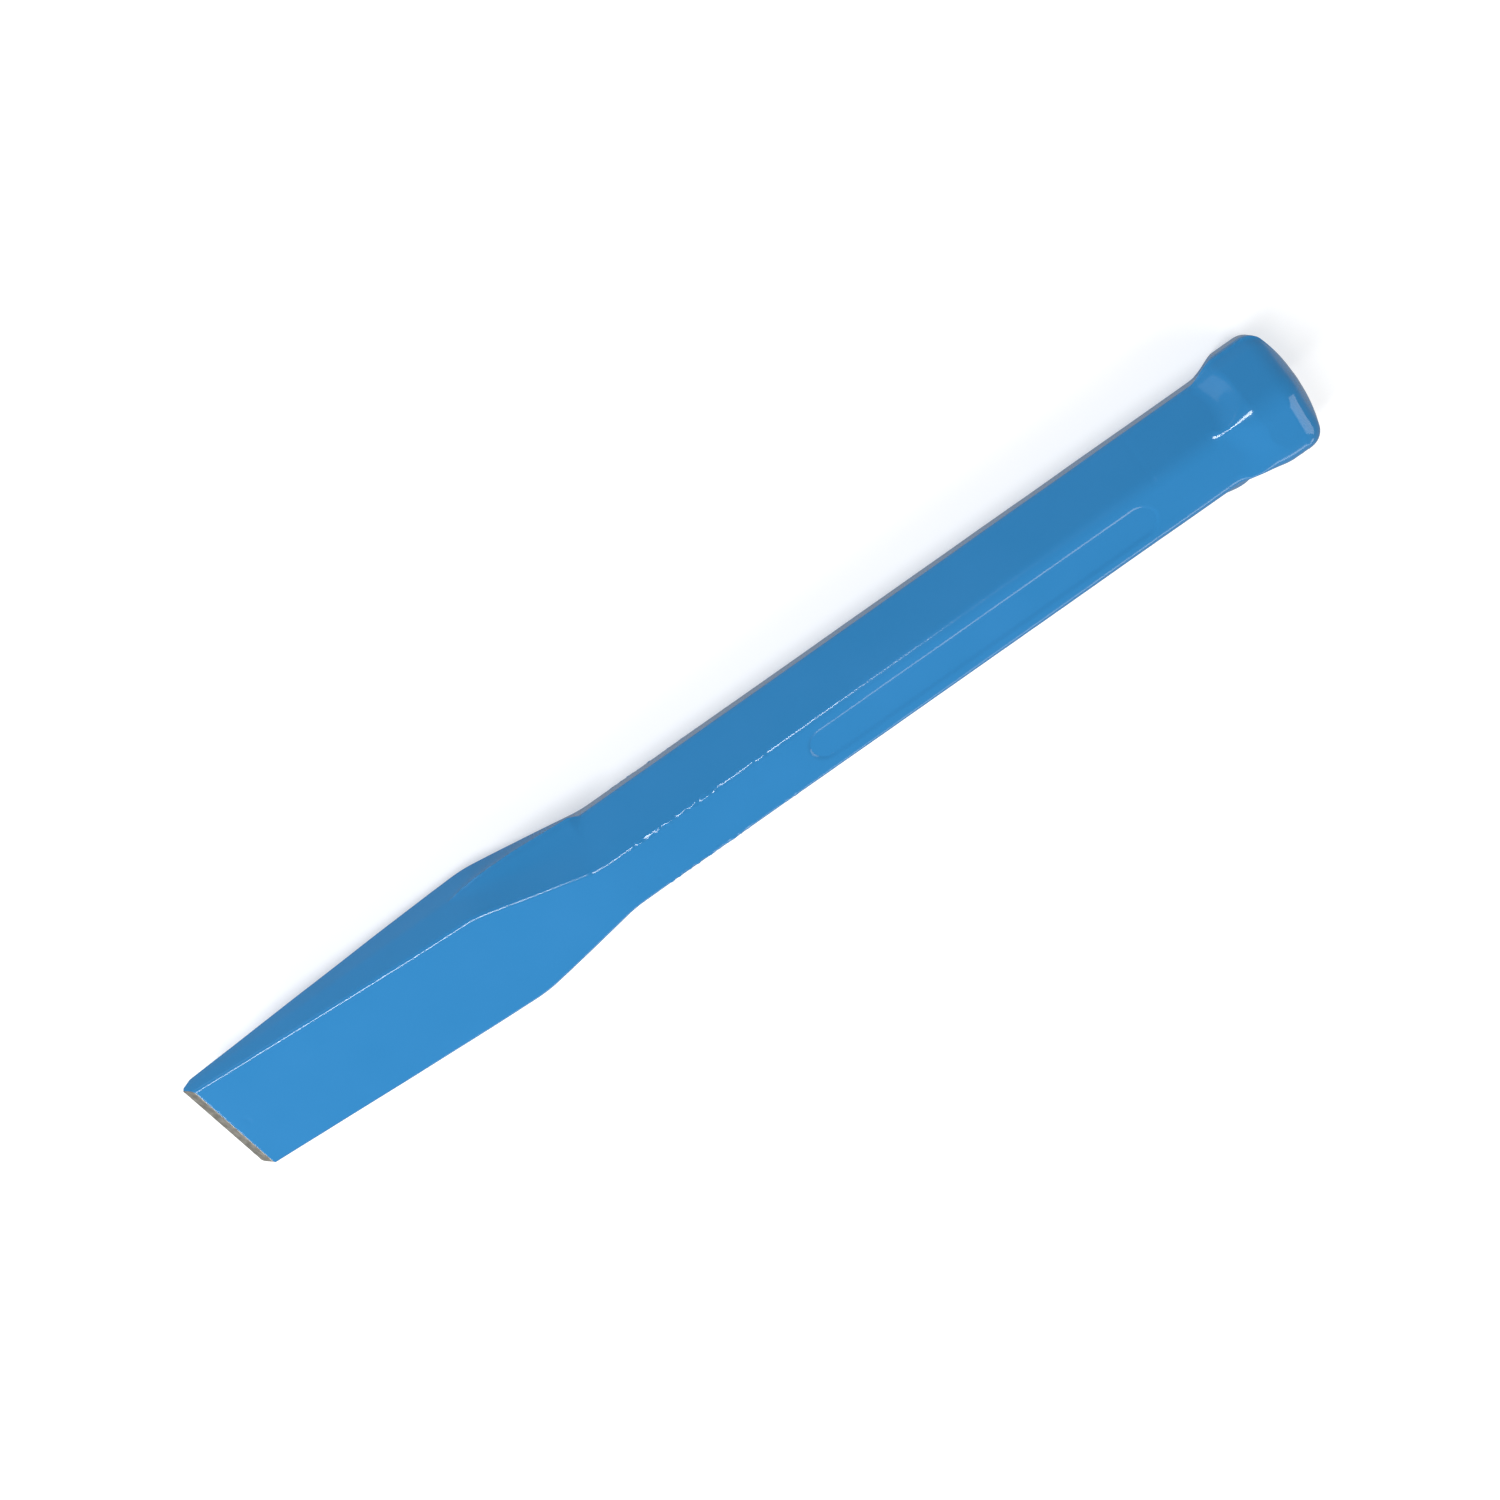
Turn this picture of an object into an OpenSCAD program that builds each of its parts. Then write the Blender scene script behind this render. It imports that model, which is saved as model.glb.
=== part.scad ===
// Flat cold chisel with a hexagonal shank: one forged steel bar, and the enamel coat baked onto it.
// X runs along the tool from the cutting edge to the struck head, Y across the blade, and Z through
// its thickness.
// The origin is the centre of the bounding box, on the tool's own axis.

/* [Overall] */
// Length from the cutting edge to the crown of the struck face, over the enamel
length = 250; // [220:1:320]
// Distance across the flats of the shank's hexagon, over the enamel
across_flats = 20.2; // [18:0.1:22]
// Thickness of the enamel film
enamel_t = 0.15; // [0.1:0.05:0.4]

/* [Blade] */
// Width of the blade's wide faces at the cutting edge
edge_w = 25.3; // [22:0.1:30]
// Width of the blade's wide faces at the shoulder
shoulder_w = 24.5; // [22:0.1:28]
// Thickness of the blade at the shoulder
shoulder_t = 17.2; // [14:0.1:19]
// Thickness of the blade where the ground bevels begin
bevel_root_t = 4.7; // [3:0.1:6]
// Length of the ground bevels along the tool
bevel_len = 2.4; // [2:0.1:5]
// Draft angle of the forged side edges
side_draft = 5.5; // [4:0.5:9]
// Distance from the cutting edge to the shoulder
blade_len = 68.2; // [55:0.1:80]

/* [Shank] */
// Length of the taper from the shoulder to the hexagonal shank
flare_len = 24.6; // [20:0.1:35]
// Height of the trimmed flash left on the two sides of that taper
flash_h = 1.8; // [0:0.1:2]
// Rounding of the shank's four front and back corners beside the blade
ridge_r = 1.2; // [0.6:0.1:2]
// Rounding of the same corners beside the head
ridge_r_head = 3.6; // [2:0.1:4.5]
// Rounding of the shank's two side corners
side_r = 3.2; // [1.5:0.1:4]
// Rounding of the blade's corners
blade_r = 0.6; // [0.4:0.1:0.9]

/* [Panel] */
// Length of the shallow round-ended panel on one flat
panel_len = 78; // [50:1:90]
// Width of the panel
panel_w = 7.8; // [5:0.1:8]
// Depth of the panel
panel_depth = 0.4; // [0.3:0.05:0.8]
// Distance from the cutting edge to the middle of the panel
panel_at = 176; // [160:1:178]

/* [Head] */
// How much larger the head is than the shank
head_scale = 1.2; // [1.1:0.01:1.3]
// Length of the full-size head, up to the struck face
head_len = 10.5; // [8:0.5:14]
// Length of the neck along the two side corners
neck_side = 9; // [7:0.5:14]
// Length of the neck along the other four corners
neck_ridge = 8; // [5:0.5:9]
// How much shorter the neck is in the middle of a flat
neck_scallop = 2.2; // [0:0.1:3]
// Height of the crown on the struck face
crown_h = 1.8; // [0.6:0.1:2]
// Radius of the struck face's rim
rim_r = 3.4; // [1:0.1:3.6]
// Rounding of the head's four front and back corners
head_ridge_r = 4.4; // [2:0.1:4.6]
// Rounding of the head's two side corners
head_side_r = 1.6; // [1:0.1:3]

/* [Hidden] */
// points around each rounded corner of a section
corner_pts = 5;
// half the thickness of the steel left at the cutting edge
edge_land = 0.08;
// how far the side edges stand out at the cutting edge
edge_crown = 0.15;
// rounding of the side edges beside the blade
blade_side_r = 3;
// stations along the blade, the flare, the shank, the neck, the rim and the crown
blade_steps = 3;
flare_steps = 10;
shank_steps = 3;
neck_steps = 12;
rim_steps = 5;
crown_steps = 6;
// how far past each end of a taper its rounding reaches, as a share of its length
taper_soft = 0.16;
// the same for the neck
neck_soft = 0.3;
// the last station of the plain blade, as a share of its length
blade_end = 0.94;
// how far before the neck the plain shank ends, and how far past it the plain head begins
neck_before = 5;
neck_margin = 3.5;
head_after = 3;
// angle that the rim turns through before the crown takes over
rim_turn = 70;
// share of the crown left as a flat at the middle of the struck face
crown_flat = 0.1;
// facets of the panel's round ends
panel_fn = 48;
// height of the panel's cutter above the panel's floor
panel_cut = 3.4;

steel_len = length - enamel_t;
flat_z = across_flats / 2 - enamel_t;
side_y = flat_z / cos(30);
head_at = steel_len - head_len;
neck_at = head_at - neck_side;
shank_at = blade_len + flare_len;
rim_at = steel_len - crown_h - rim_r * sin(rim_turn);

function unit(v) = v / norm(v);

// A straight ramp from 0 to 1 whose two ends are rounded off by parabolas.
function ramp(t, e) =
    t <= -e ? 0 :
    t < e ? pow(t + e, 2) / (4 * e) :
    t <= 1 - e ? t :
    t < 1 + e ? 1 - pow(1 + e - t, 2) / (4 * e) : 1;

function mix(a, b, t) = a + (b - a) * t;

// Points of one rounded corner at q, between its neighbours p and s, each moved out by grow.
function corner(p, q, s, r, k, grow) =
    let(
        to_p = unit(p - q),
        to_s = unit(s - q),
        half = acos(to_p * to_s) / 2,
        reach = min(r / tan(half), 0.45 * min(norm(p - q), norm(s - q))),
        radius = reach * tan(half),
        centre = q + unit(to_p + to_s) * radius / sin(half),
        first = q + to_p * reach - centre,
        start = atan2(first[1], first[0]),
        sweep = 180 - 2 * half
    )
    [
        for (i = [0 : corner_pts - 1])
            let(
                turn = start + sweep * i / (corner_pts - 1),
                out = [cos(turn), sin(turn)]
            )
            k * (centre + radius * out) + grow * out
    ];

// A six-cornered section: wide faces of half-width a at height b, side corners at half-width c.
function section(a, b, c, r_ridge, r_side, k, grow) =
    let(tips = [[c, 0], [a, b], [-a, b], [-c, 0], [-a, -b], [a, -b]])
    [
        for (i = [0 : 5])
            each corner(
                tips[(i + 5) % 6], tips[i], tips[(i + 1) % 6],
                i % 3 == 0 ? r_side : r_ridge, k, grow
            )
    ];

// Each point of a section as [x, y, z].
function at_x(x, pts) = [for (p = pts) [x, p[0], p[1]]];

// How large the neck and head are at x, at the point p of the section:
// the side corners grow first, then the other corners, and the middles of the flats last.
function neck_scale(x, p) =
    let(
        around = atan2(abs(p[1]), abs(p[0])),
        side = pow(max(0, cos(around * 1.5)), 2),
        off_corner = pow(sin(around * 3), 2),
        full = head_at + neck_scallop * off_corner * (1 - 0.5 * side),
        len = mix(neck_ridge, neck_side, side) - neck_scallop * off_corner * 0.5
    )
    mix(1, head_scale, ramp((x - full + len) / len, neck_soft));

function shank_section(x, grow) =
    let(
        t = max(0, min(1, (x - shank_at) / (neck_at - shank_at))),
        h = max(0, min(1, (x - neck_at) / (head_at - neck_at)))
    )
    section(
        side_y / 2, flat_z, side_y,
        mix(mix(ridge_r, ridge_r_head, t), head_ridge_r / head_scale, h),
        mix(side_r, head_side_r, h), 1, grow
    );

function blade_section(x, grow) =
    let(
        t = (x - bevel_len) / (blade_len - bevel_len),
        a = mix(edge_w, shoulder_w, t) / 2 - enamel_t,
        b = mix(bevel_root_t, shoulder_t, t) / 2 - enamel_t
    )
    section(a, b, a + b * tan(side_draft), blade_r, blade_side_r, 1, grow);

function flare_section(x, grow) =
    let(
        t = ramp((x - blade_len) / flare_len, taper_soft),
        along = (x - blade_len) / flare_len / (1 + taper_soft),
        flash = flash_h * sin(180 * along),
        half_w = shoulder_w / 2 - enamel_t,
        half_t = shoulder_t / 2 - enamel_t,
        a = mix(half_w, side_y / 2, t),
        b = mix(half_t, flat_z, t),
        c = mix(half_w + half_t * tan(side_draft), side_y, t) + flash
    )
    section(a, b, c, mix(blade_r, ridge_r, t), mix(blade_side_r, side_r, t), 1, grow);

function head_section(x, shrink, grow) =
    [
        for (p = shank_section(x, 0))
            p * neck_scale(x, p) * shrink + grow * unit(p)
    ];

// The ground wedge in front of the coat: the steel comes down to the cutting edge.
function edge_rings() = [
    at_x(0, section(
        edge_w / 2 - enamel_t, edge_land, edge_w / 2 - enamel_t + edge_crown,
        edge_land / 2, edge_land / 2, 1, 0
    ))
];

// Sections from the bevels to the start of the neck, moved out by grow.
function bar_rings(grow) = [
    at_x(bevel_len, blade_section(bevel_len, grow)),
    for (i = [1 : blade_steps])
        let(x = mix(bevel_len, blade_len * blade_end, i / blade_steps))
        at_x(x, blade_section(x, grow)),
    for (i = [0 : flare_steps])
        let(x = mix(blade_len, shank_at + taper_soft * flare_len, i / flare_steps))
        at_x(x, flare_section(x, grow)),
    for (i = [1 : shank_steps])
        let(x = mix(shank_at + taper_soft * flare_len, neck_at - neck_before, i / shank_steps))
        at_x(x, shank_section(x, grow))
];

// How much of the head's section is left where the rim has turned through an angle.
function rim_share(turn) = 1 - rim_r * (1 - cos(turn)) / side_y / head_scale;

// Sections of the neck, the head, its rim and the crown, moved out by grow.
function head_rings(grow) = [
    for (i = [0 : neck_steps])
        let(x = mix(neck_at - neck_margin, head_at + head_after, i / neck_steps))
        at_x(x, head_section(x, 1, grow)),
    for (i = [0 : rim_steps])
        let(
            turn = rim_turn * i / rim_steps,
            x = rim_at + (rim_r + grow) * sin(turn)
        )
        at_x(x, head_section(rim_at, rim_share(turn), grow * cos(turn))),
    for (i = [1 : crown_steps])
        let(
            share = mix(1, crown_flat, i / crown_steps),
            rise = (1 - share * share) / (1 - crown_flat * crown_flat)
        )
        at_x(
            steel_len - crown_h * (1 - rise) + grow,
            head_section(rim_at, rim_share(rim_turn) * share, 0)
        )
];

// A closed solid through a list of rings that all have the same number of points.
module loft(rings) {
    n = len(rings[0]);
    last = len(rings) - 1;
    points = [for (ring = rings) each ring];
    sides = [
        for (i = [0 : last - 1])
            for (j = [0 : n - 1])
                let(
                    a = i * n + j,
                    b = i * n + (j + 1) % n
                )
                each [[a, a + n, b + n], [a, b + n, b]]
    ];
    first_cap = [for (j = [0 : n - 1]) j];
    last_cap = [for (j = [n - 1 : -1 : 0]) last * n + j];
    polyhedron(points, concat(sides, [first_cap, last_cap]));
}

// The shallow round-ended panel, cut in by inset less on every side.
module panel(inset) {
    floor_z = flat_z - panel_depth + inset;
    r = panel_w / 2 - inset;
    run = panel_len - panel_w;
    translate([panel_at, 0, floor_z])
        linear_extrude(panel_cut)
            union() {
                square([run, 2 * r], center = true);
                translate([-run / 2, 0])
                    circle(r, $fn = panel_fn);
                translate([run / 2, 0])
                    circle(r, $fn = panel_fn);
            }
}

// The bare steel, in the tool's own distances from the cutting edge.
module steel() {
    difference() {
        loft(concat(edge_rings(), bar_rings(0), head_rings(0)));
        panel(0);
    }
}

module forged_body() {
    color("darkgray")
        translate([-length / 2, 0, 0])
            steel();
}

module enamel_coat() {
    color("steelblue")
        translate([-length / 2, 0, 0])
            difference() {
                loft(concat(bar_rings(enamel_t), head_rings(enamel_t)));
                steel();
                panel(enamel_t);
            }
}

forged_body();
enamel_coat();
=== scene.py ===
"""A forged flat cold chisel: a steel body with bare ground bevels under a coat of blue enamel."""

import math

import bmesh
import bpy
import numpy as np
from mathutils import Matrix, Vector, noise


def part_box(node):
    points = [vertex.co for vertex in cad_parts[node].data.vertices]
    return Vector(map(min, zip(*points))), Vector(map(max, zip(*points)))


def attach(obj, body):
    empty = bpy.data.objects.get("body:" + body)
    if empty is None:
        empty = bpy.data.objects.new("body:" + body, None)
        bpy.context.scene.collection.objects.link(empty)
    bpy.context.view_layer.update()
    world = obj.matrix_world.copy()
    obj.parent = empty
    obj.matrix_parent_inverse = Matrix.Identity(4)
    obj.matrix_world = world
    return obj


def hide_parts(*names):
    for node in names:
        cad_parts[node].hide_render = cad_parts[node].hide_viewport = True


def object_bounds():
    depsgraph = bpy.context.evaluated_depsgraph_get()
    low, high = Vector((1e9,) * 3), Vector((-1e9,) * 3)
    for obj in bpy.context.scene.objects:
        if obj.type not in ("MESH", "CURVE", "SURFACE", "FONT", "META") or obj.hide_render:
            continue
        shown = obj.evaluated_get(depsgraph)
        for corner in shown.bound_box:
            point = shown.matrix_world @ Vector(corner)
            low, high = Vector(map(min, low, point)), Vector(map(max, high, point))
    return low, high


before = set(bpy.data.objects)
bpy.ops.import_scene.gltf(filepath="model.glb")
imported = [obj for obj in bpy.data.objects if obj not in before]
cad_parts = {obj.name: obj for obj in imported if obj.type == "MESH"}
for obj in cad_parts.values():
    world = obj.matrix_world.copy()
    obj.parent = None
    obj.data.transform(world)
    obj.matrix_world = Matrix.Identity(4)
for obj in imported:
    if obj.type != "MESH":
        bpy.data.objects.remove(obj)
cad_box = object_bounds()

MM = 0.001

# ---------------------------------------------------------------- sizes, in millimetres
coat_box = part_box("enamel_coat")
steel_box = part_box("forged_body")

EDGE_X = steel_box[0][0] / MM  # the cutting edge
HEAD_X = coat_box[1][0] / MM  # crown of the struck face
FILM = HEAD_X - steel_box[1][0] / MM  # thickness of the enamel

FLAT = 10.1 - FILM  # half the distance across the shank's flats
SIDE = FLAT / math.cos(math.radians(30))  # from the axis to the shank's side corners

BEVEL = 2.4  # length of the ground bevels
ROOT = 2.35  # half the blade's thickness where the bevels begin
EDGE_HALF = 12.65 - FILM  # half the wide face at the cutting edge
SHOULDER_HALF = 12.25 - FILM  # half the wide face at the shoulder
SHOULDER_THICK = 8.6 - FILM  # half the blade's thickness at the shoulder
DRAFT = math.tan(math.radians(5.5))  # slope that lets the blade's sides leave the dies
SHOULDER = 68.2  # from the cutting edge to the shoulder
SHANK = 92.8  # from the cutting edge to the start of the shank
EDGE_LAND = 0.05  # half the thickness left at the cutting edge
TOE_X = 0.6  # rounding of the worn corner of the cutting edge, along the tool
TOE_Y = 1.2  # the same across the blade

# The fin left along each side where the forging flash was trimmed off: distance from the cutting
# edge, height of the fin and its half-width.
FIN = (
    (64.0, 0.0, 0.4),
    (71.0, 0.9, 1.6),
    (80.0, 1.4, 1.9),
    (92.4, 1.2, 1.7),
    (94.6, 0.08, 0.4),
    (232.0, 0.08, 0.4),
    (238.3, 0.42, 0.45),
    (245.0, 0.42, 0.45),
)
FIN_FROM = (8.0, 10.0)  # the fin fades in between these distances from the middle of the tool
CREST_H = 0.3  # height of the sharp crest on the fin
CREST_W = 0.15  # half-width of the crest

SHANK_TAPER = 0.014  # how much thicker the shank is at the flare than at the neck
HEAD_SCALE = 1.2
CORNER_START = 229.5  # where the ridges of the neck start to swell
CORNER_FULL = 242.0  # where they reach the head's full size
FLAT_START = 233.2  # the same for the middles of the flats, which end in a crease
FLAT_FULL = 239.2
SIDE_START = 232.6  # and for the side corners
SIDE_FULL = 238.5
NEAR_SHIFT = 2.4  # the +Y half of the neck is this much shorter at both ends
LOW_SHIFT = 2.0  # its lower corner starts this much later still
CROWN_H = 1.8  # crown of the struck face
RIM_R = 3.4  # rounding of the struck face's rim
RIM_TURN = math.radians(72.0)  # how far the rim turns before the crown takes over

CORNERS = 6  # corners of the section, counted round from the side corner at +Y
RIDGES = (1, 2, 4, 5)  # all but the two side corners
LOW_RIDGE = 5  # the lower ridge at +Y
BLADE_R = 0.9  # rounding of the ridges on the blade
SHANK_R = 1.0  # on the shank beside the flare
SOFT_R = 4.2  # on the shank beside the neck
LOW_SOFT_R = 1.4  # the same for the low ridge
NECK_R = 1.2  # on the neck
HEAD_R = 4.8  # on the head
SIDE_RADII = (8.0, 2.4, 1.6, 4.5)  # side corners on the blade, the flare, the shank and the head

PANEL_AT = 176.2  # from the cutting edge to the middle of the panel
PANEL_LEN = 78.0
PANEL_W = 7.8
PANEL_DEPTH = 0.36
PANEL_SLOPE = 1.2  # width of the panel's sloping border

TOTAL = HEAD_X - EDGE_X

ARC_POINTS = 11  # points round each ridge
FIN_POINTS = 19  # points round each side corner, crowded at its middle
SIDE_POINTS = 11  # points across each of the four slanting faces, crowded at its ends
WIDE_POINTS = 48  # the same for the top and bottom faces


# ---------------------------------------------------------------- shape of the forging
def mix(a, b, t):
    return a + (b - a) * t


def smooth(low, high, value):
    t = np.clip((value - low) / (high - low), 0.0, 1.0)
    return t * t * (3.0 - 2.0 * t)


def ramp(t, soft):
    """A straight ramp from 0 to 1 with both ends rounded off by parabolas."""
    start = (t + soft) ** 2 / (4.0 * soft)
    end = 1.0 - (1.0 + soft - t) ** 2 / (4.0 * soft)
    out = np.where(t < soft, start, np.where(t > 1.0 - soft, end, t))
    return np.where(t <= -soft, 0.0, np.where(t >= 1.0 + soft, 1.0, out))


def tips(x):
    """The section's six corners at x before rounding, round from the side corner at +Y."""
    blade = (x - BEVEL) / (SHOULDER - BEVEL)
    flare = ramp((x - SHOULDER) / (SHANK - SHOULDER), 0.1)
    half = mix(EDGE_HALF, SHOULDER_HALF, np.clip(blade, 0.0, 1.0))
    settle = 0.7
    thick = mix(ROOT, SHOULDER_THICK, blade)
    thick = SHOULDER_THICK - settle * np.logaddexp(0.0, (SHOULDER_THICK - thick) / settle)
    size = 1.0 + SHANK_TAPER * (1.0 - np.clip((x - SHANK) / (CORNER_START - SHANK), 0.0, 1.0))
    a = mix(half, size * SIDE / 2.0, flare)
    b = mix(thick, size * FLAT, flare)
    c = mix(half + thick * DRAFT, size * SIDE, flare)
    return np.array([[c, 0.0 * x], [a, b], [-a, b], [-c, 0.0 * x], [-a, -b], [a, -b]])


def rounding(corner, x):
    """Radius of one corner of the section along the tool."""
    settled = SHANK + 4.0
    if corner not in RIDGES:
        blade_r, flare_r, shank_r, head_r = SIDE_RADII
        flare = mix(blade_r, flare_r, smooth(SHOULDER - 2.0, SHOULDER + 6.0, x))
        shank = mix(flare, shank_r, smooth(SHANK, settled, x))
        return mix(shank, head_r, smooth(SIDE_START, SIDE_FULL, x))
    near_head = np.clip((x - SHANK) / (CORNER_START - SHANK), 0.0, 1.0) ** 1.4
    soft = LOW_SOFT_R if corner == LOW_RIDGE else SOFT_R
    shank = mix(BLADE_R, mix(SHANK_R, soft, near_head), smooth(SHOULDER, settled, x))
    neck = mix(shank, NECK_R, smooth(CORNER_START + 1.0, CORNER_START + 3.5, x))
    return mix(neck, HEAD_R, smooth(CORNER_START + 4.5, CORNER_START + 9.0, x))


def arc(corner, x):
    """Centre, radius, first angle and sweep of one rounded corner."""
    points = tips(x)
    count = len(points)
    here = points[corner]
    before = points[(corner - 1) % count] - here
    after = points[(corner + 1) % count] - here
    long_before = np.hypot(*before)
    long_after = np.hypot(*after)
    before = before / long_before
    after = after / long_after
    half = np.arccos(np.clip((before * after).sum(0), -1.0, 1.0)) / 2.0
    longest = 0.48 * np.minimum(long_before, long_after)
    reach = np.minimum(rounding(corner, x) / np.tan(half), longest)
    radius = reach * np.tan(half)
    inward = before + after
    centre = here + inward / np.hypot(*inward) * radius / np.sin(half)
    first = here + before * reach - centre
    return centre, radius, np.arctan2(first[1], first[0]), math.pi - 2.0 * half


def columns():
    """Each lengthwise line of the skin, as its kind, a corner and a share. An 'arc' line lies on that
    corner's rounding and a 'flat' line on the face that follows the corner."""
    counts = (SIDE_POINTS, WIDE_POINTS, SIDE_POINTS) * 2
    out = []
    for corner, count in enumerate(counts):
        if corner in RIDGES:
            shares = np.linspace(0.0, 1.0, ARC_POINTS)
        else:
            even = np.linspace(-1.0, 1.0, FIN_POINTS)
            shares = 0.5 + 0.5 * np.sign(even) * np.abs(even) ** 2.0
        out += [("arc", corner, share) for share in shares]
        turns = [math.pi * (i + 1) / (count + 1) for i in range(count)]
        out += [("flat", corner, 0.5 - 0.5 * math.cos(turn)) for turn in turns]
    return out


def ridge_share(kind, corner, share):
    """1 along the middle of each ridge and 0 off the ridges."""
    if kind == "arc" and corner in RIDGES:
        return math.sin(math.pi * share) ** 0.5
    return 0.0


def side_share(kind, corner, share):
    """1 along a line near the upper end of the side corner at +Y, and 0 away from it."""
    if kind == "arc" and corner == 0:
        return math.exp(-(((share - 0.86) / 0.14) ** 2))
    return 0.0


COLUMNS = columns()
WIDTH = len(COLUMNS)
ON_RIDGE = np.array([ridge_share(*column) for column in COLUMNS])
ON_SIDE = np.array([side_share(*column) for column in COLUMNS])


def line(column, x):
    """Place and outward direction, across the tool, of one lengthwise line at the distances x."""
    kind, corner, share = column
    centre, radius, first, sweep = arc(corner, x)
    if kind == "arc":
        turn = first + sweep * share
        out = np.array([np.cos(turn), np.sin(turn)])
        return centre + radius * out, out
    end = first + sweep
    out = np.array([np.cos(end), np.sin(end)])
    start = centre + radius * out
    next_centre, next_radius, next_first, _ = arc((corner + 1) % CORNERS, x)
    finish = next_centre + next_radius * np.array([np.cos(next_first), np.sin(next_first)])
    return mix(start, finish, share), out


def neck_scale(x, y, z):
    """How much the neck and head swell. The flats swell late and end in a crease, the rest smoothly."""
    around = np.arctan2(np.abs(z), np.abs(y))
    side = np.maximum(0.0, np.cos(around * 1.5)) ** 2
    flat = np.sin(around * 3.0) ** 2
    near = NEAR_SHIFT * smooth(0.0, 4.0, y)
    low = LOW_SHIFT * smooth(0.0, 4.0, y) * smooth(0.0, 4.0, -z)
    full = mix(mix(CORNER_FULL - near, SIDE_FULL, side), FLAT_FULL, flat) + 0.4 * low
    start = mix(mix(CORNER_START + near, SIDE_START, side), FLAT_START, flat) + low
    t = np.clip((x - start) / (full - start), 0.0, 1.0)
    eased = t * t * (3.0 - 2.0 * t)
    turn = 0.78 * math.pi
    creased = (1.0 - np.cos(turn * t)) / (1.0 - math.cos(turn))
    return mix(1.0, HEAD_SCALE, mix(eased, creased, 0.9 * flat))


def waves(x, y, z, size, seed):
    """Smooth seeded noise with features of the given size in millimetres."""
    flat = np.stack([x.ravel(), y.ravel(), z.ravel()], 1) / size
    shift = Vector((seed * 17.3, seed * 5.1, seed * 9.7))
    values = [noise.noise(Vector(point) + shift) for point in flat]
    return np.array(values).reshape(x.shape)


def panel_drop(x, y):
    """Depth of the shallow round-ended panel in the top flat."""
    run = np.maximum(np.abs(x - PANEL_AT) - (PANEL_LEN - PANEL_W) / 2.0, 0.0)
    inside = PANEL_W / 2.0 - np.hypot(run, y)
    return PANEL_DEPTH * smooth(0.0, PANEL_SLOPE, inside)


# Chance marks in the enamel: place, radius and depth; a negative depth is a blob.
MARKS = (
    ((5.5, 0.0, 2.6), 0.5, 0.22),
    ((74.6, 10.7, 8.8), 0.45, -0.16),
    ((77.6, 11.2, 5.0), 0.3, -0.1),
    ((91.3, 6.2, 9.8), 0.5, 0.12),
    ((94.6, -2.2, 10.1), 0.3, 0.1),
    ((100.4, -3.3, 10.1), 0.4, 0.12),
)
# A low swelling of the forging at -Y, just before the neck.
SWELL_AT = (231.0, -9.6, 3.6)
SWELL_H = 1.1
SWELL_R = 2.6
SWELL_STRETCH = 1.5  # how much longer than wide it is
# A hair crease in the enamel, across the upper face at +Y.
CREASE_AT = 217.6
CREASE_W = 0.3
CREASE_DEPTH = 0.07
RIDGE_ROUGH = 0.15  # height of the ragged enamel along the ridges
SIDE_ROUGH = 0.06  # the same along the side corner
# Where it is ragged along the tool: it fades in between the first two and out between the others.
ROUGH_FLARE = (68.0, 76.0, 118.0, 142.0)
ROUGH_SIDE = (100.0, 106.0, 150.0, 165.0)
ROUGH_HEAD = (238.0, 240.0)
# Unevenness of the forging: height, size and seed, and where along the tool it is at its full height.
UNEVEN = ((0.035, 11.0, 1, 12.0), (0.012, 3.2, 2, 8.0))
UNEVEN_FROM = 3.0


def between(x, start, full, fade, end):
    """1 from full to fade, and 0 before start and after end."""
    return smooth(start, full, x) * (1.0 - smooth(fade, end, x))


def fin_height(x, y, z):
    """Height of the trimmed flash along the sides, with the sharp crest on it."""
    at, heights, widths = (np.array(values) for values in zip(*FIN))
    height = np.interp(x, at, heights)
    fin = height * np.exp(-((np.abs(z) / np.interp(x, at, widths)) ** 1.4))
    crested = np.clip(2.5 * height - 0.3, 0.0, 1.0)
    crest = CREST_H * np.exp(-((z / CREST_W) ** 2)) * crested
    return (fin + crest) * smooth(*FIN_FROM, np.abs(y))


def swell_height(x, y, z):
    along = (x - SWELL_AT[0]) / SWELL_STRETCH
    away = np.hypot(along, np.hypot(y - SWELL_AT[1], z - SWELL_AT[2]))
    return SWELL_H * np.exp(-((away / SWELL_R) ** 2))


def film_height(x, y, z, out):
    """What only the enamel has: ragged stretches on the ridges, a crease and the chance marks."""
    rough = np.clip(waves(x, y, z, 0.8, 3) * 2.0, -0.5, 1.0)
    patch = smooth(-0.15, 0.25, waves(x, y * 0.0, z * 0.0, 5.0, 4))
    head = smooth(*ROUGH_HEAD, x) * smooth(0.0, 1.0, -y)
    height = RIDGE_ROUGH * ON_RIDGE * rough * patch * (between(x, *ROUGH_FLARE) + head)
    height += SIDE_ROUGH * ON_SIDE * rough * patch * between(x, *ROUGH_SIDE)
    on_face = smooth(0.3, 0.6, out[..., 1]) * smooth(4.0, 6.0, y)
    height -= CREASE_DEPTH * np.exp(-(((x - CREASE_AT) / CREASE_W) ** 2)) * on_face
    for place, radius, depth in MARKS:
        gap = (x - place[0]) ** 2 + (y - place[1]) ** 2 + (z - place[2]) ** 2
        height -= depth * np.exp(-gap / radius**2)
    return height


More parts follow.
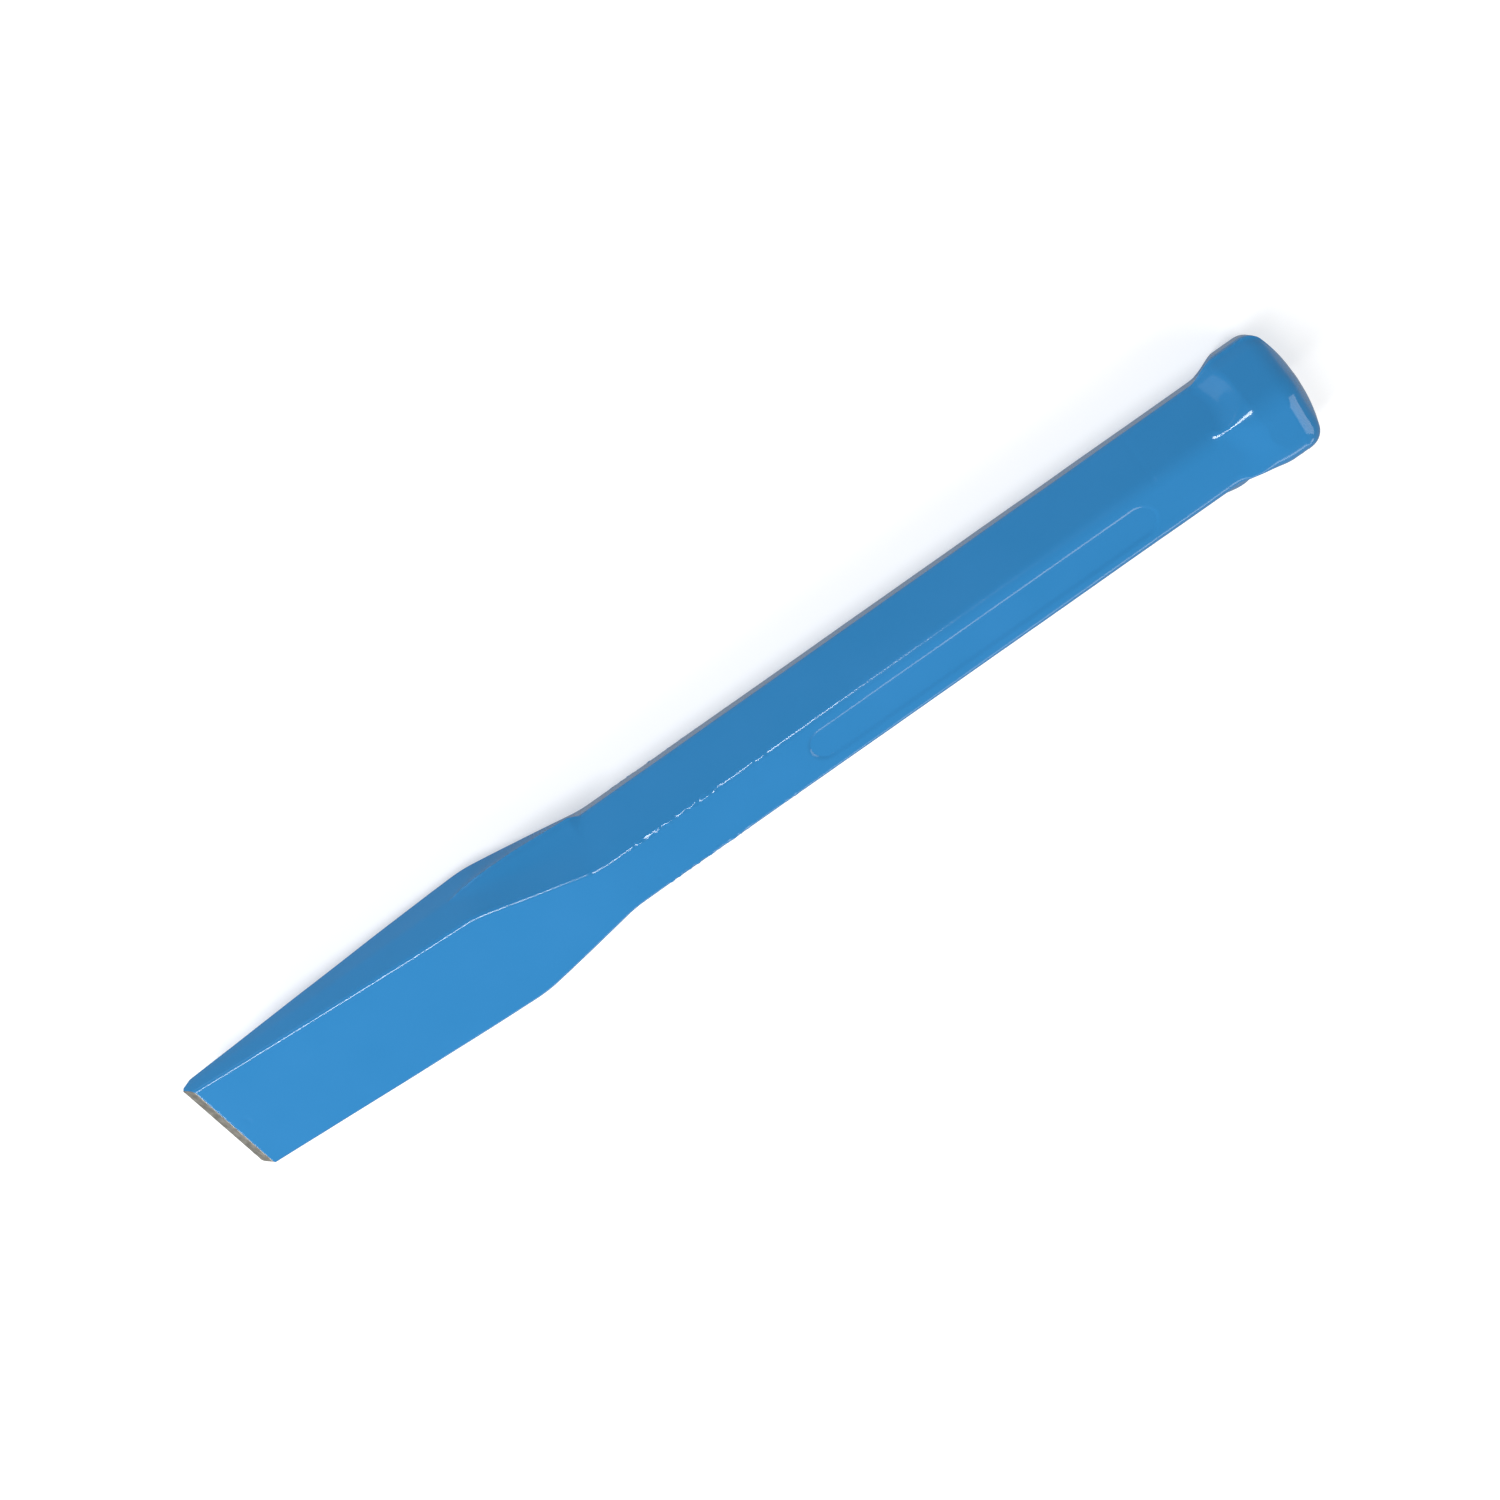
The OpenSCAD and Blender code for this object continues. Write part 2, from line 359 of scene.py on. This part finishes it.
def relief(x, y, z, out, film):
    """How far the skin stands out from, or sinks below, the plain forged shape."""
    on_top = smooth(0.9, 0.99, out[..., 1])
    shank = smooth(SHANK, SHANK + 3.0, x)
    height = np.zeros_like(x)
    for high, size, seed, full_at in UNEVEN:
        height += high * waves(x, y, z, size, seed) * smooth(UNEVEN_FROM, full_at, x)
    height -= panel_drop(x, y) * on_top * shank
    height += fin_height(x, y, z)
    height += swell_height(x, y, z)
    if film:
        height += film_height(x, y, z, out)
    return height


def skin(x, grow, film):
    """Points of the skin on lines x (rows) by COLUMNS, moved out by grow, as rows of x, y, z."""
    y = np.empty_like(x)
    z = np.empty_like(x)
    out = np.empty(x.shape + (2,))
    for j, column in enumerate(COLUMNS):
        place, direction = line(column, x[:, j])
        y[:, j], z[:, j] = place
        out[:, j] = direction.T
    scale = neck_scale(x, y, z)
    y, z = y * scale, z * scale
    move = grow + relief(x, y, z, out, film)
    y = y + out[..., 0] * move
    z = z + out[..., 1] * move
    return y, z


def end_rings(grow, steps=12, crown_steps=16):
    """Rows that round the head's rim and run in over the crowned struck face."""
    base_y, base_z = skin(np.full((1, WIDTH), RIM_START), 0.0, False)
    reach = np.hypot(base_y, base_z)
    rows = []
    for i in range(1, steps + 1):
        turn = RIM_TURN * i / steps
        share = 1.0 - RIM_R * (1.0 - math.cos(turn)) / reach
        x = RIM_START + RIM_R * math.sin(turn) + grow * math.sin(turn)
        out = share + grow * math.cos(turn) / reach
        rows.append((x, base_y * out, base_z * out))
    for i in range(1, crown_steps):
        inward = 1.0 - i / crown_steps
        x = CROWN_START + CROWN_H * (1.0 - inward**2) + grow
        rows.append((x, base_y * share * inward, base_z * share * inward))
    tip = (TOTAL - FILM + grow, 0.0, 0.0)
    xs = np.concatenate([np.full((1, WIDTH), row[0]) for row in rows])
    ys = np.concatenate([row[1] for row in rows])
    zs = np.concatenate([row[2] for row in rows])
    return xs, ys, zs, tip


def stations(zones):
    """Distances along the tool, from (end, spacing) zones that follow one another from the bevels."""
    out = [BEVEL]
    for end, step in zones:
        count = max(1, round((end - out[-1]) / step))
        out += list(np.linspace(out[-1], end, count + 1)[1:])
    return np.array(out)


CROWN_START = TOTAL - FILM - CROWN_H
RIM_START = CROWN_START - RIM_R * math.sin(RIM_TURN)
FINE = stations(
    (
        (4.0, 0.2),
        (8.0, 0.4),
        (60.0, 1.0),
        (SHOULDER, 0.5),
        (142.0, 0.35),
        (PANEL_AT + PANEL_LEN / 2.0 + 1.0, 0.3),
        (SIDE_START - 1.0, 0.5),
        (CORNER_FULL, 0.25),
        (RIM_START, 0.35),
    )
)
COARSE = stations(
    (
        (12.0, 1.0),
        (SHOULDER - 6.0, 12.0),
        (SHANK + 4.0, 2.0),
        (224.0, 8.0),
        (RIM_START, 1.0),
    )
)
SPREAD_END = 10.0  # rows follow the bevels' line at first and lie straight across from here on
EDGE_RAGGED = ((0.09, 0.9, 7), (0.05, 0.35, 8))  # raggedness of the coat's edge: height, size, seed
COAT_FROM = 0.25  # the coat's edge stays at least this far from the cutting edge
RAGGED_FROM = 0.2  # and this far once it is ragged
STEEL_RAGGED = (0.03, 0.8, 9)  # raggedness of the cutting edge: height, size, seed
STEEL_GAP = 0.02  # the steel's mesh lies this far inside the coat's
BEVEL_STEPS = 10  # rows along the bevels


def bevel_line(grow):
    """Where each lengthwise line meets the ground bevels: along the two bevel planes on the painted
    side, and straight across on the worn corner's side."""
    x = np.full((1, WIDTH), BEVEL)
    y, z = skin(x, grow, False)
    slope = BEVEL / ROOT
    on_side = smooth(EDGE_HALF - 0.6, EDGE_HALF - 0.1, y)
    reach = np.abs(z) * slope
    met = np.where(on_side > 0.5, reach, BEVEL + grow * slope)
    return np.maximum(met, COAT_FROM)


def spread(rows, first):
    """A table of distances whose first row is first and whose later rows settle back to rows."""
    fade = 1.0 - smooth(BEVEL, SPREAD_END, rows)
    return rows[:, None] + fade[:, None] * (first - BEVEL)


def body_rows(rows, grow, film):
    """The skin from the bevels to the struck face, as tables of x, y and z, and the last point."""
    first = bevel_line(grow)
    if film:
        across = skin(first, grow, False)
        no_x = np.zeros_like(first)
        for height, size, seed in EDGE_RAGGED:
            first = first + height * waves(no_x, *across, size, seed)
        first = np.maximum(first, RAGGED_FROM)
    x = spread(rows, first)
    y, z = skin(x, grow, film)
    ends = end_rings(grow)
    return (
        np.concatenate([x, ends[0]]),
        np.concatenate([y, ends[1]]),
        np.concatenate([z, ends[2]]),
        ends[3],
    )


def placed(x, y, z):
    """Vertices in metres, in the frame."""
    return np.stack([x + EDGE_X, y, z], -1).reshape(-1, 3) * MM


def sheet_faces(first, rows, flip=False):
    """Quads between successive rows of a closed skin whose first vertex is first."""
    faces = []
    for i in range(rows - 1):
        for j in range(WIDTH):
            a = first + i * WIDTH + j
            b = first + i * WIDTH + (j + 1) % WIDTH
            quad = (a, b, b + WIDTH, a + WIDTH)
            faces.append(quad[::-1] if flip else quad)
    return faces


def fan(first, tip, flip=False):
    """Triangles that close a row onto one point."""
    faces = [(first + j, first + (j + 1) % WIDTH, tip) for j in range(WIDTH)]
    return [face[::-1] for face in faces] if flip else faces


def make_piece(name, verts, faces, material):
    mesh = bpy.data.meshes.new(name)
    mesh.from_pydata([tuple(v) for v in verts], [], faces)
    mesh.validate()
    work = bmesh.new()
    work.from_mesh(mesh)
    bmesh.ops.recalc_face_normals(work, faces=work.faces)
    work.to_mesh(mesh)
    work.free()
    for polygon in mesh.polygons:
        polygon.use_smooth = True
    mesh.materials.append(material)
    piece = bpy.data.objects.new(name, mesh)
    bpy.context.scene.collection.objects.link(piece)
    return piece


def enamel_piece(material):
    """The coat: an outer skin and a plainer inner skin, joined along its edge at the bevels."""
    outer = body_rows(FINE, FILM, True)
    inner = body_rows(COARSE, 0.0, False)
    outer_rows = outer[0].shape[0]
    inner_rows = inner[0].shape[0]
    verts = np.concatenate(
        [
            placed(*outer[:3]),
            placed(*inner[:3]),
            placed(*(np.array([value]) for value in outer[3])),
            placed(*(np.array([value]) for value in inner[3])),
        ]
    )
    inner_first = outer_rows * WIDTH
    tip = inner_first + inner_rows * WIDTH
    faces = sheet_faces(0, outer_rows) + fan(inner_first - WIDTH, tip)
    faces += sheet_faces(inner_first, inner_rows, True) + fan(tip - WIDTH, tip + 1, True)
    for j in range(WIDTH):
        k = (j + 1) % WIDTH
        faces.append((j, inner_first + j, inner_first + k, k))
    return make_piece("enamel_skin", verts, faces, material)


def steel_piece(material):
    """The bare steel: two ground bevels that meet at the cutting edge, and the bar under the coat."""
    under = body_rows(COARSE, -STEEL_GAP, False)
    root_x, root_y, root_z = under[0][:1], under[1][:1], under[2][:1]
    inner = EDGE_HALF - TOE_Y
    edge_y = np.clip(root_y, -EDGE_HALF, EDGE_HALF)
    toe = np.clip(-(edge_y + inner) / TOE_Y, 0.0, 1.0)
    edge_x = TOE_X * (1.0 - np.sqrt(1.0 - toe**2))
    height, size, seed = STEEL_RAGGED
    flat = np.zeros_like(edge_y)
    edge_x = edge_x + height * waves(flat, edge_y, flat, size, seed)
    edge_z = np.sign(root_z) * EDGE_LAND
    xs, ys, zs = [], [], []
    for i in range(BEVEL_STEPS):
        t = i / BEVEL_STEPS
        xs.append(mix(edge_x, root_x, t))
        ys.append(mix(edge_y, root_y, t))
        zs.append(mix(edge_z, root_z, t))
    x = np.concatenate(xs + [under[0]])
    y = np.concatenate(ys + [under[1]])
    z = np.concatenate(zs + [under[2]])
    rows = x.shape[0]
    verts = np.concatenate([placed(x, y, z), placed(*(np.array([value]) for value in under[3]))])
    faces = sheet_faces(0, rows) + fan((rows - 1) * WIDTH, rows * WIDTH)
    # The narrow land is closed by quads between each line and its mirror image below the edge.
    mirror = FIN_POINTS - 1
    for j in range(mirror // 2, mirror // 2 + WIDTH // 2):
        k = (mirror - j) % WIDTH
        after = (mirror - j - 1) % WIDTH
        corners = [j % WIDTH, k, after, (j + 1) % WIDTH]
        unique = list(dict.fromkeys(corners))
        if len(unique) > 2:
            faces.append(tuple(unique))
    return make_piece("steel_forging", verts, faces, material)


# ---------------------------------------------------------------- materials
BLUE_DARK = (0.019, 0.179, 0.408, 1.0)
BLUE_LIGHT = (0.026, 0.194, 0.443, 1.0)
BLUE_IOR = 1.42
STEEL_DARK = (0.21, 0.205, 0.178, 1.0)
STEEL_LIGHT = (0.39, 0.375, 0.332, 1.0)
FLOOR_GREY = (0.5, 0.5, 0.5, 1.0)
FLOOR_GLOW = 0.56


def new_material(name):
    material = bpy.data.materials.new(name)
    material.use_nodes = True
    nodes = material.node_tree.nodes
    links = material.node_tree.links
    shader = nodes["Principled BSDF"]
    return material, nodes, links, shader


def noise_node(nodes, links, place, scale, detail, rough=0.5):
    node = nodes.new("ShaderNodeTexNoise")
    node.inputs["Scale"].default_value = scale
    node.inputs["Detail"].default_value = detail
    node.inputs["Roughness"].default_value = rough
    links.new(place, node.inputs["Vector"])
    return node.outputs["Fac"]


def ranged(nodes, links, value, low, high, out_low, out_high):
    node = nodes.new("ShaderNodeMapRange")
    names = ("From Min", "From Max", "To Min", "To Max")
    for name, number in zip(names, (low, high, out_low, out_high)):
        node.inputs[name].default_value = number
    links.new(value, node.inputs["Value"])
    return node.outputs["Result"]


def bump_node(nodes, links, height, strength, distance, normal=None):
    node = nodes.new("ShaderNodeBump")
    node.inputs["Strength"].default_value = strength
    node.inputs["Distance"].default_value = distance
    links.new(height, node.inputs["Height"])
    if normal is not None:
        links.new(normal, node.inputs["Normal"])
    return node.outputs["Normal"]


def mixed_colour(nodes, links, share, first, second):
    node = nodes.new("ShaderNodeMix")
    node.data_type = "RGBA"
    links.new(share, node.inputs["Factor"])
    for socket, colour in ((node.inputs[6], first), (node.inputs[7], second)):
        socket.default_value = colour
    return node.outputs[2]


def enamel_material():
    """Semi-gloss enamel, with slightly uneven colour and gloss and a faint orange peel."""
    material, nodes, links, shader = new_material("blue_enamel")
    place = nodes.new("ShaderNodeTexCoord").outputs["Object"]
    broad = noise_node(nodes, links, place, 60.0, 2.0)
    peel = noise_node(nodes, links, place, 900.0, 2.0)
    grit = noise_node(nodes, links, place, 2600.0, 1.0)
    blue = mixed_colour(nodes, links, broad, BLUE_DARK, BLUE_LIGHT)
    links.new(blue, shader.inputs["Base Color"])
    links.new(ranged(nodes, links, broad, 0.0, 1.0, 0.1, 0.17), shader.inputs["Roughness"])
    peel_normal = bump_node(nodes, links, peel, 0.05, 0.0003)
    links.new(bump_node(nodes, links, grit, 0.04, 0.0001, peel_normal), shader.inputs["Normal"])
    shader.inputs["IOR"].default_value = BLUE_IOR
    return material


def steel_material():
    """Mottled grey steel with fine grinding lines."""
    material, nodes, links, shader = new_material("ground_steel")
    place = nodes.new("ShaderNodeTexCoord").outputs["Object"]
    stretch = nodes.new("ShaderNodeMapping")
    stretch.inputs["Scale"].default_value = (0.12, 1.0, 0.12)
    stretch.inputs["Rotation"].default_value = (0.0, 0.0, math.radians(8.0))
    links.new(place, stretch.inputs["Vector"])
    lines = noise_node(nodes, links, stretch.outputs["Vector"], 9000.0, 3.0, 0.6)
    mottle = noise_node(nodes, links, place, 700.0, 3.0)
    share = ranged(nodes, links, mottle, 0.3, 0.7, 0.0, 1.0)
    grey = mixed_colour(nodes, links, share, STEEL_DARK, STEEL_LIGHT)
    links.new(grey, shader.inputs["Base Color"])
    links.new(ranged(nodes, links, lines, 0.3, 0.7, 0.38, 0.55), shader.inputs["Roughness"])
    links.new(bump_node(nodes, links, lines, 0.35, 0.00005), shader.inputs["Normal"])
    shader.inputs["Metallic"].default_value = 1.0
    return material


def floor_material():
    material, _, _, shader = new_material("studio_floor")
    shader.inputs["Base Color"].default_value = FLOOR_GREY
    shader.inputs["Emission Color"].default_value = (1.0, 1.0, 1.0, 1.0)
    shader.inputs["Emission Strength"].default_value = FLOOR_GLOW
    shader.inputs["Roughness"].default_value = 0.9
    shader.inputs["Specular IOR Level"].default_value = 0.0
    return material


# ---------------------------------------------------------------- studio
def add_floor(bottom):
    """A pale floor that nothing mirrors."""
    half = 12.0
    sides = ((-half, -half), (half, -half), (half, half), (-half, half))
    verts = [(x, y, bottom) for x, y in sides]
    mesh = bpy.data.meshes.new("studio_floor")
    mesh.from_pydata(verts, [], [(0, 1, 2, 3)])
    mesh.materials.append(floor_material())
    floor = bpy.data.objects.new("studio_floor", mesh)
    bpy.context.scene.collection.objects.link(floor)
    floor.visible_glossy = False


def add_light(name, place, aim, width, height, power):
    light = bpy.data.lights.new(name, "AREA")
    light.shape = "RECTANGLE"
    light.size = width
    light.size_y = height
    light.energy = power
    item = bpy.data.objects.new(name, light)
    direction = Vector(aim) - Vector(place)
    item.location = place
    item.rotation_euler = direction.to_track_quat("-Z", "Y").to_euler()
    bpy.context.scene.collection.objects.link(item)


def add_world(grey, strength):
    world = bpy.data.worlds.new("studio")
    world.use_nodes = True
    background = world.node_tree.nodes["Background"]
    background.inputs["Color"].default_value = (grey, grey, grey, 1.0)
    background.inputs["Strength"].default_value = strength
    bpy.context.scene.world = world


def add_camera():
    """The camera stands above the side of the shank, rolled so that the head points up and right."""
    aim = Vector((0.0023, 0.0009, -0.001))
    azimuth, elevation, roll = (math.radians(angle) for angle in (76.96, 54.2, 155.56))
    distance = 0.5578
    level_share = math.cos(elevation)
    east, north = level_share * math.cos(azimuth), level_share * math.sin(azimuth)
    away = Vector((east, north, math.sin(elevation)))
    level = (-away).cross(Vector((0.0, 0.0, 1.0))).normalized()
    upright = level.cross(-away)
    right = level * math.cos(roll) + upright * math.sin(roll)
    up = away.cross(right)
    camera = bpy.data.cameras.new("camera")
    camera.sensor_fit = "HORIZONTAL"
    camera.angle = math.radians(28.59)
    camera.clip_start = 0.01
    item = bpy.data.objects.new("camera", camera)
    turn = Matrix((right, up, away)).transposed()
    item.matrix_world = Matrix.Translation(aim + away * distance) @ turn.to_4x4()
    bpy.context.scene.collection.objects.link(item)
    bpy.context.scene.camera = item


# ---------------------------------------------------------------- the model
coat = enamel_piece(enamel_material())
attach(coat, "root")
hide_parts("enamel_coat")

steel = steel_piece(steel_material())
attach(steel, "root")
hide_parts("forged_body")

# The key box shines along the near ridge, the right and left boxes light the wide face, and the
# two cards catch the sides.
add_floor(cad_box[0][2])
add_world(1.0, 0.3)
add_light("key_box", (-0.415, 0.49, 1.0), (-0.1, 0.0, 0.0), 0.77, 0.18, 11.0)
add_light("right_box", (0.95, -0.65, 0.85), (0.0, 0.0, 0.0), 1.0, 1.0, 9.0)
add_light("left_box", (-1.0, -0.42, 0.52), (0.0, 0.0, 0.0), 0.36, 0.36, 7.0)
add_light("side_card", (-0.75, 0.9, 0.15), (-0.05, 0.0, 0.0), 0.6, 0.3, 0.5)
add_light("back_card", (0.0, -1.2, 0.16), (0.0, 0.0, 0.0), 1.1, 0.22, 1.8)
add_camera()
bpy.context.scene.view_settings.view_transform = "Standard"
